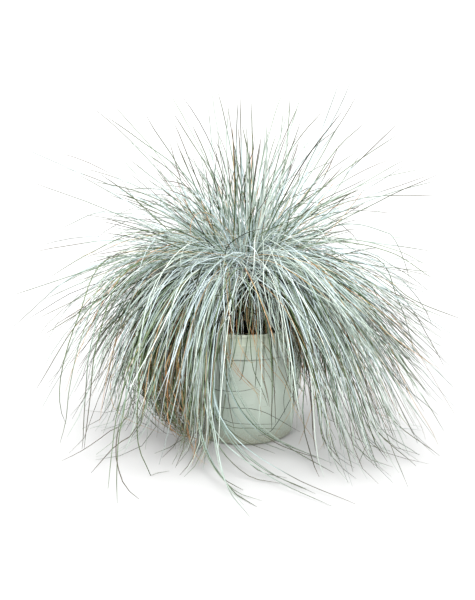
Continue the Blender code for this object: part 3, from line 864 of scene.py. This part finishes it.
def makeSingleLeaves(rng):
    paths, leaves = [], []
    for given in singleLeaves.values():
        group = {**usualSingle, **given}
        for points in group["leaves"] * group["copies"]:
            knots = np.array([atPixel(*point) for point in points])
            away = rng.normal(0, group["loose"], 2)
            if group["copies"] > 1 and len(paths) % 2:   # every other one strays from the photo's
                knots[:, :2] += away * np.linspace(0.2, 1.0, len(knots))[:, None]
            outward = np.hypot(knots[:, 0], knots[:, 1])
            knots[:, :2] *= np.minimum(1.0, plantReach / (outward + 1e-9))[:, None]
            paths.append(keepClear(smoothLine(knots, singleRings), leafForm["groundGap"]))
            leaves.append({
                "width": group["width"] * rng.uniform(0.85, 1.15),
                "tone": max(0.0, group["tone"] + rng.uniform(-0.15, 0.2)), "age": group["age"],
                "tipDry": rng.random(), "old": rng.uniform(0.0, 0.08), "fade": 0.25,
                "roll": rng.uniform(0, 6), "twist": max(0.0, rng.normal()),
            })
    leaf = {key: np.array([one[key] for one in leaves]) for key in leaves[0]}
    piece = leafPiece("singleLeaves", np.array(paths), leafWidths(leaf, singleRings), leaf, freshLeaf)
    settle(piece)


makeSingleLeaves(rng)


# The pot: one thin moulding, turned, with its six drain holes cut through the floor

def arcPoints(centre, radius, first, last, steps):
    turns = np.radians(np.linspace(first, last, steps))
    return [(centre[0] + radius * math.cos(t), centre[1] + radius * math.sin(t)) for t in turns]


def potProfile():
    # from the middle of the floor up the inside, over the lip and down the outside
    top, lipBottom = pot["height"], pot["height"] - pot["lipDepth"]
    wall, lip, corner, floor = pot["wall"], pot["lip"], pot["corner"], pot["floor"]
    lipRound, inner, recess = pot["lipRound"], pot["innerRound"], pot["recess"]
    line = [(0.0, floor), (wallRadius(0.0) - wall - corner, floor)]
    line += arcPoints((wallRadius(2 * inner) - wall - inner, floor + inner), inner, -80, 0, 6)
    line += [(wallRadius(z) - wall, z) for z in np.linspace(4 * inner, undercut, 8)]
    line += [(bandRadius(z) - wall, z) for z in (undercut + wall, lipBottom)]
    line += arcPoints((lip - wall + 0.0002, top - lipRound), lipRound, 180, 90, 5)
    line += arcPoints((lip - lipRound, top - lipRound), lipRound, 90, 0, 6)
    under = pot["lipUnder"]
    line += arcPoints((lip - under, lipBottom + under), under, 0, -90, 4)
    line.append((bandRadius(lipBottom) + 0.0002, lipBottom))
    z, half = top - pot["ridge"], pot["ridgeWidth"] / 2
    line += [(bandRadius(z) + rise * pot["ridgeHeight"], z + up * half) for up, rise in
             ((1.6, 0), (0.9, 0.3), (0.3, 1), (-0.3, 1), (-0.9, 0.3), (-1.6, 0))]
    under = pot["bandRound"]
    line += arcPoints((bandRadius(undercut) - under, undercut + under), under, 0, -90, 5)
    line += [(wallRadius(undercut), undercut), (wallRadius(undercut) - 0.00005, undercut - 0.0006)]
    line += [(wallRadius(z), z) for z in np.linspace(undercut - 0.004, 0.006, 12)]
    line += arcPoints((wallRadius(corner) - corner, corner), corner, 0, -90, 8)
    line += [(pot["footInner"], 0.0), (pot["footInner"] - recess, recess),
             (pot["pad"] + recess, recess), (pot["pad"], 0.0), (0.0, 0.0)]
    return line


def turnedMesh(name, profile, steps, material, sharpAngle):
    # turns a profile of radius and height round the axis; a zero radius is a single point
    points, rows, faces = [], [], []
    for radius, height in profile:
        if radius < 1e-9:
            rows.append([len(points)] * steps)
            points.append((0.0, 0.0, height))
        else:
            rows.append(list(range(len(points), len(points) + steps)))
            points += ringOf(radius, height, steps)
    for lower, upper in zip(rows, rows[1:]):
        for step in range(steps):
            after = (step + 1) % steps
            corners = [lower[step], upper[step], upper[after], lower[after]]
            faces.append(list(dict.fromkeys(corners)))
    return addMesh(name, points, faces, material, sharpAngle)


def cutHoles(thing):
    cutter = bmesh.new()
    middle, size = pot["holeCircle"], pot["holeRadius"]
    for index in range(pot["holes"]):
        turn = 2 * math.pi * (index + 0.5) / pot["holes"]
        spot = (middle * math.cos(turn), middle * math.sin(turn), pot["recess"])
        bmesh.ops.create_cone(cutter, cap_ends=True, segments=32, radius1=size, radius2=size,
                              depth=0.012, matrix=Matrix.Translation(spot))
    mesh = bpy.data.meshes.new("holeCutters")
    cutter.to_mesh(mesh)
    cutter.free()
    holes = bpy.data.objects.new("holeCutters", mesh)
    bpy.context.scene.collection.objects.link(holes)
    cut = thing.modifiers.new("holes", "BOOLEAN")
    cut.object, cut.solver = holes, "EXACT"
    bpy.context.view_layer.update()
    shape = thing.evaluated_get(bpy.context.evaluated_depsgraph_get())
    thing.data = bpy.data.meshes.new_from_object(shape)
    thing.modifiers.clear()
    bpy.data.objects.remove(holes)
    thing.data.set_sharp_from_angle(angle=math.radians(pot["sharp"]))


potFinish = {
    "sage": (0.500, 0.580, 0.508),
    "greyer": (0.450, 0.505, 0.445),
    "dust": (0.200, 0.170, 0.115),
    "lime": (0.640, 0.655, 0.580),
    "scuff": (0.260, 0.285, 0.235),
    # darker sage towards the foot: painted shade
    "foot": (0.265, 0.315, 0.265),
    "algae": (0.440, 0.475, 0.315),
    # a painted shadow under the band's step
    "stepShadow": (0.080, 0.090, 0.060),
    "runHeight": (0.02, 0.09),     # heights over which each of these comes in
    "splashHeight": (0.006, 0.032),
    "lipHeight": (0.114, 0.122),
    "footShadeHeight": (0.004, 0.064),
    "algaeHeight": (0.100, 0.124),
}


def potMaterial(finish):
    paint = Paint("sagePlastic", Specular_IOR_Level=0.42)
    where = paint.place()
    height = paint.node("ShaderNodeSeparateXYZ", {}, {0: where}, "Z")
    tall = paint.stretch(where, (1.0, 1.0, 0.10))
    flat = paint.stretch(where, (0.25, 0.25, 2.5))
    mottle = paint.cloud(where, 24.0, 4.0, 0.6)
    speck = paint.cloud(where, 900.0, 2.0)
    run = paint.cloud(tall, 160.0, 3.0, 0.6)
    scrape = paint.cloud(flat, 260.0, 2.0)
    colour = paint.blend(mottle.above(0.30, 0.68) * 0.8, finish["sage"], finish["greyer"])
    runs = run.above(0.56, 0.74) * height.above(*finish["runHeight"]) * 0.30
    colour = paint.blend(runs, colour, finish["lime"])
    colour = paint.blend(scrape.above(0.66, 0.74) * 0.35, colour, finish["scuff"])
    low = 1 - (height + mottle * 0.016).above(*finish["splashHeight"])
    high = (height + mottle * 0.006).above(*finish["lipHeight"])
    # a thin strip just under the band's step, where the painted shadow goes
    line = height.above(undercut - 0.0022, undercut - 0.0008)
    line = line * (1 - height.above(undercut, undercut + 0.0004))
    # darker towards the foot: painted shade
    foot = (1 - (height + mottle * 0.02).above(*finish["footShadeHeight"])) * 0.78
    colour = paint.blend(foot, colour, finish["foot"])
    green = (height + mottle * 0.020).above(*finish["algaeHeight"]) * 0.45
    colour = paint.blend(green, colour, finish["algae"])
    # the painted shadow under the band, broken up by the runs' noise
    colour = paint.blend(line * run.above(0.20, 0.50) * 0.55, colour, finish["stepShadow"])
    dirt = (low * 0.75 + high * 0.16) * speck.above(0.30, 0.58)
    colour = paint.blend(dirt, colour, finish["dust"])
    colour = paint.blend(speck.above(0.60, 0.72) * 0.20, colour, finish["lime"])
    rough = 0.40 + mottle * 0.16 + dirt * 0.25 - scrape.above(0.66, 0.74) * 0.10
    grain = paint.cloud(where, 1500.0, 2.0) * 0.5 + scrape * 0.5 + dirt * 0.4
    return paint.finish(colour, rough, grain, 0.14, 0.0003)


def makePot():
    plastic = potMaterial(potFinish)
    thing = turnedMesh("growerPot", potProfile(), pot["steps"], plastic, pot["sharp"])
    cutHoles(thing)
    settle(thing, ["pot"])


makePot()


# Soil: crumbly peat that fills the pot, with chips of bark, roots' ends and grains of perlite

soil = {
    "radius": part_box("potting_soil")[1][0],
    "gap": 0.0003,
    "lump": 0.0011,
    "lumpSize": 0.0075,
    "crumb": 0.0005,
    "crumbSize": 0.0017,
    "standRadius": 0.031,
    "standRise": 0.0015,
    "steps": 200,
    "rings": 64,
    "grains": ({"count": 850, "size": (0.0005, 0.0013), "flat": 0.8, "kind": 0.15},
               {"count": 260, "size": (0.0010, 0.0030), "flat": 0.35, "kind": 0.55},
               {"count": 70, "size": (0.0006, 0.0014), "flat": 0.9, "kind": 1.0}),
}


def soilHeight(x, y):
    radius = math.hypot(x, y)
    rise = soil["standRise"] * max(0.0, 1 - (radius / soil["standRadius"]) ** 4)
    lumps = noise.fractal(Vector((x, y, 0.0)) / soil["lumpSize"], 0.6, 2.0, 3) * soil["lump"]
    crumbs = noise.noise(Vector((x, y, 0.3)) / soil["crumbSize"]) * soil["crumb"]
    return soilTop + rise + lumps + crumbs


def soilSurface():
    # the top as a polar grid, then the side down the inside of the pot and the bottom
    steps, rings = soil["steps"], soil["rings"]
    points, faces = [(0.0, 0.0, soilHeight(0, 0))], []
    for ring in range(1, rings + 1):
        radius = soil["radius"] * (ring / rings) ** 0.85
        points += [(x, y, soilHeight(x, y)) for x, y, _ in ringOf(radius, 0.0, steps)]
    inner = pot["wall"] + soil["gap"]
    shoulder, foot = undercut + 0.003, 0.012
    sides = [(bandRadius(undercut) - inner, shoulder), (wallRadius(undercut) - inner, undercut),
             (wallRadius(foot) - inner, foot),
             (wallRadius(foot) - inner - 0.004, pot["floor"] + soil["gap"])]
    for radius, height in sides:
        points += ringOf(radius, height, steps)
    for step in range(steps):
        faces.append((0, 1 + step, 1 + (step + 1) % steps))
    for ring in range(rings + len(sides) - 1):
        start = 1 + ring * steps
        for step in range(steps):
            after = (step + 1) % steps
            faces.append((start + step, start + steps + step, start + steps + after, start + after))
    last = 1 + (rings + len(sides) - 1) * steps
    faces.append(tuple(last + step for step in reversed(range(steps))))
    return points, faces, [0.0] * len(points)


def addGrains(points, faces, kinds, rng):
    ball = bmesh.new()
    bmesh.ops.create_icosphere(ball, subdivisions=1, radius=1.0)
    shape = np.array([tuple(v.co) for v in ball.verts])
    sides = [tuple(v.index for v in face.verts) for face in ball.faces]
    ball.free()
    for sort in soil["grains"]:
        for _ in range(sort["count"]):
            radius = (soil["radius"] - 0.003) * math.sqrt(rng.uniform(0.12, 1.0))
            turn = rng.uniform(0, 2 * math.pi)
            x, y = radius * math.cos(turn), radius * math.sin(turn)
            size = rng.uniform(*sort["size"])
            stretch = Matrix.Diagonal((size, size * rng.uniform(0.4, 1.0), size * sort["flat"]))
            tilt = Euler((rng.normal(0, 0.35), rng.normal(0, 0.35), turn * 5)).to_matrix()
            lump = (shape * rng.uniform(0.8, 1.2, shape.shape)) @ np.array(tilt @ stretch).T
            place = np.array([x, y, soilHeight(x, y) + size * sort["flat"] * 0.3])
            start = len(points)
            points += [tuple(p) for p in lump + place]
            faces += [tuple(start + corner for corner in side) for side in sides]
            kinds += [sort["kind"]] * len(shape)


soilFinish = {
    "kinds": ((0.0, (0.020, 0.013, 0.008)), (0.35, (0.042, 0.026, 0.015)), (0.60, (0.125, 0.068, 0.034)),
              (0.80, (0.30, 0.27, 0.22)), (1.0, (0.62, 0.60, 0.55))),
}


def soilMaterial(finish):
    paint = Paint("pottingPeat", Specular_IOR_Level=0.12)
    where, kind = paint.place(), paint.fact("kind")
    patch = paint.cloud(where, 130.0, 4.0, 0.65)
    fine = paint.cloud(where, 1300.0, 3.0, 0.6)
    colour = paint.ramp(finish["kinds"], kind + (patch - 0.45) * 0.45 + (fine - 0.5) * 0.25)
    return paint.finish(colour, 0.78 + fine * 0.18, fine + patch, 0.6, 0.0006)


def makeSoil(rng):
    points, faces, kinds = soilSurface()
    addGrains(points, faces, kinds, rng)
    thing = addMesh("peatSoil", points, faces, soilMaterial(soilFinish), 50)
    thing.data.attributes.new("kind", "FLOAT", "POINT").data.foreach_set("value", kinds)
    settle(thing, ["potting_soil"])


makeSoil(rng)


# Crown: the sheaths that the leaves grow out of, coloured near-black: dead sheaths with the shade inside
# the clump painted in

sheaths = {
    "count": 330,
    "rings": 9,
    "foot": (0.010, 0.0275),
    "top": (0.006, 0.0300),
    "topHeight": (0.172, 0.138),   # in the middle and at the edge
    "sunk": 0.002,                 # how deep they start in the soil
    "waist": 0.22,
    "width": (0.0016, 0.0028),
}
sheathFinish = {
    # near-black: the dead sheaths' colour with the shade inside the clump painted in
    "dark": (0.003, 0.003, 0.0015),
    "shadedBrown": (0.003, 0.002, 0.001),
    "straw": (0.012, 0.008, 0.004),
    "green": (0.100, 0.120, 0.085),
}


def sheathMaterial(finish):
    paint = Paint("drySheath", Specular_IOR_Level=0.08)
    along, age = paint.fact("along"), paint.fact("age")
    where = paint.place()
    patch = paint.cloud(where, 90.0, 3.0, 0.6)
    streak = paint.cloud(paint.stretch(where, (1.0, 1.0, 0.12)), 900.0, 2.0)
    colour = paint.blend((along + patch * 0.4 - 0.2).above(0.05, 0.60), finish["dark"], finish["shadedBrown"])
    colour = paint.blend(age.above(0.72, 0.95) * patch.above(0.40, 0.60), colour, finish["straw"])
    colour = paint.blend((along - age * 0.3).above(0.72, 0.95), colour, finish["green"])
    colour = paint.blend(streak.above(0.45, 0.70) * 0.5, colour, finish["dark"])
    return paint.finish(colour, 0.55 + patch * 0.3, streak, 0.5, 0.0004)


def makeSheaths(rng):
    count, rings = sheaths["count"], sheaths["rings"]
    turn = 2 * np.pi * rng.random(count)
    share = np.sqrt(rng.random(count))
    foot, top = between(sheaths["foot"], share), between(sheaths["top"], share)
    rise = between(sheaths["topHeight"], rng.random(count) * share)
    along = np.linspace(0, 1, rings)[None, :]
    waist = 1 - sheaths["waist"] * np.sin(np.pi * along)
    radius = (foot[:, None] + (top - foot)[:, None] * along) * waist
    heading = turn[:, None] + rng.normal(0, 0.12, count)[:, None] * along
    start = soilTop - sheaths["sunk"]
    height = start + (rise - start)[:, None] * along
    paths = np.stack([radius * np.cos(heading), radius * np.sin(heading), height], axis=2)
    widths = between(sheaths["width"], rng.random(count))[:, None] * (1 - 0.45 * along)
    leaf = {"tone": np.full(count, 0.3), "age": rng.random(count), "tipDry": rng.random(count),
            "old": np.zeros(count), "fade": np.zeros(count), "roll": rng.uniform(0, 6, count),
            "twist": rng.normal(0, 1, count)}
    drySheath = sheathMaterial(sheathFinish)
    settle(leafPiece("crownSheaths", paths, widths, leaf, drySheath))
    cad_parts["crown"].material_slots[0].material = drySheath


makeSheaths(rng)


# Thatch: short dead leaves round the crown's foot; the fresh ones are near-black, painted shade inside the
# clump

thatch = {
    "wander": 60.0, "astray": 45.0, "wobble": 24.0, "ripple": 14.0, "apart": 3.0, "bent": 0.25,
    "width": (0.0005, 0.0011), "tone": 0.10, "dry": 0.62, "old": (-0.1, 0.35), "fade": 0.1,
    "early": (0.8, 2.5),
    "habits": {
        "round": {"shoots": 120, "each": 3, "sectors": allRound, "lean": (60, 108), "bend": (10, 70),
                  "length": (0.030, 0.085), "drop": (0.012, 0.048)},
        "front": {"shoots": 34, "each": 3, "sectors": ((-150, -30, 1.0),), "lean": (70, 100),
                  "bend": (20, 80), "length": (0.045, 0.080), "drop": (0.015, 0.030)},
    },
}


def makeThatch(rng):
    leaf = growHabits(thatch, rng)
    settle(leafPiece("deadThatch", bendLeaves(leaf), leafWidths(leaf), leaf, freshLeaf))


makeThatch(rng)


# A mat of dead leaves by the pot's left foot: they fall outside the rim and curl in again

mat = {
    "count": 230,
    "turn": (-178.0, -128.0),       # azimuth at the top
    "sweep": (0.0, 26.0),           # how far round a leaf has gone when it reaches the foot
    "heights": (0.148, 0.140, 0.112, 0.075, 0.040, 0.014, 0.003),
    "radii": (0.018, 0.058, 0.088, 0.098, 0.088, 0.068, 0.053),
    "loose": (0.0, 0.002, 0.010, 0.015, 0.014, 0.010, 0.007),
    "astray": 3.0,                  # degrees
    "bulge": 0.8,                   # in units of loose: the whole leaf, its points, their heights
    "uneven": 0.35,
    "unlevel": 0.5,
    "lowest": 0.0012,
    "kept": (0.72, 1.0),            # share of the way that a leaf goes
    "rings": 19,
    "width": (0.0007, 0.0013),
    "tone": (0.02, 0.40),
    "dead": 0.40,                   # share of them
    "deadAge": (0.45, 0.9),
    "freshAge": 0.1,
    "old": (0.15, 0.60),
}


def makeMat(rng):
    count, points = mat["count"], len(mat["radii"])
    loose, share = np.array(mat["loose"]), np.linspace(0, 1, points)
    turn = between(mat["turn"], rng.random(count))
    sweep = between(mat["sweep"], rng.random(count))
    astray = rng.normal(0, mat["astray"], (count, points)) * share
    heading = np.radians(turn[:, None] + sweep[:, None] * share ** 1.6 + astray)
    size = rng.normal(0.0, 1.0, (count, 1)) * mat["bulge"]
    size = size + rng.normal(0.0, mat["uneven"], (count, points))
    radius = np.array(mat["radii"]) + size * loose
    height = np.array(mat["heights"]) + rng.normal(0, mat["unlevel"], (count, points)) * loose
    kept = between(mat["kept"], rng.random(count))
    places = np.stack([radius * np.cos(heading), radius * np.sin(heading),
                       np.maximum(height, mat["lowest"])], axis=2)
    paths = np.array([keepClear(smoothLine(knots, mat["rings"], reach), leafForm["groundGap"])
                      for knots, reach in zip(places, kept)])
    leaf = {
        "width": between(mat["width"], rng.random(count)),
        "tone": between(mat["tone"], rng.random(count)),
        "tipDry": rng.random(count),
        "age": np.where(rng.random(count) < mat["dead"], rng.uniform(*mat["deadAge"], count),
                        mat["freshAge"] * rng.random(count)),
        "old": rng.uniform(*mat["old"], count),
        "fade": np.zeros(count),
        "roll": rng.uniform(0, 6, count),
        "twist": rng.normal(0, 0.5, count),
    }
    settle(leafPiece("mattedLeaves", paths, leafWidths(leaf, mat["rings"]), leaf, freshLeaf))


makeMat(rng)


# Floor, light and camera

def plainFinish(name, colour, roughness):
    paint = Paint(name, Roughness=roughness)
    paint.feed(paint.shader.inputs["Base Color"], colour)
    return paint.material


def makeStudio():
    corners = [(-20, -20, 0), (20, -20, 0), (20, 20, 0), (-20, 20, 0)]
    floor = addMesh("studioFloor", corners, [(0, 1, 2, 3)], plainFinish("paleFloor", studio["floor"], 0.9))
    world = bpy.data.worlds.new("studioAir")
    bpy.context.scene.world = world
    world.use_nodes = True
    world.node_tree.nodes["Background"].inputs["Color"].default_value = (1.0, 1.0, 1.0, 1.0)
    world.node_tree.nodes["Background"].inputs["Strength"].default_value = studio["world"]
    for name, place, spread, power in studio["lights"]:
        light = bpy.data.lights.new(name, "SUN")
        light.angle = math.radians(spread)
        light.energy = power
        lamp = bpy.data.objects.new(name, light)
        lamp.location = place
        aim = Vector(studio["lightAim"]) - lamp.location
        lamp.rotation_euler = aim.to_track_quat("-Z", "Y").to_euler()
        bpy.context.scene.collection.objects.link(lamp)
    camera = bpy.data.cameras.new("photoCamera")
    camera.lens = studio["lens"]
    camera.sensor_width = studio["sensor"]
    eye = bpy.data.objects.new("photoCamera", camera)
    eye.location = studio["cameraPlace"]
    eye.rotation_euler = (math.pi / 2 - studio["cameraPitch"], 0.0, studio["cameraYaw"])
    bpy.context.scene.collection.objects.link(eye)
    bpy.context.scene.camera = eye
    bpy.context.scene.view_settings.view_transform = "Standard"
    print("made the floor,", len(studio["lights"]), "lights and the camera")


makeStudio()
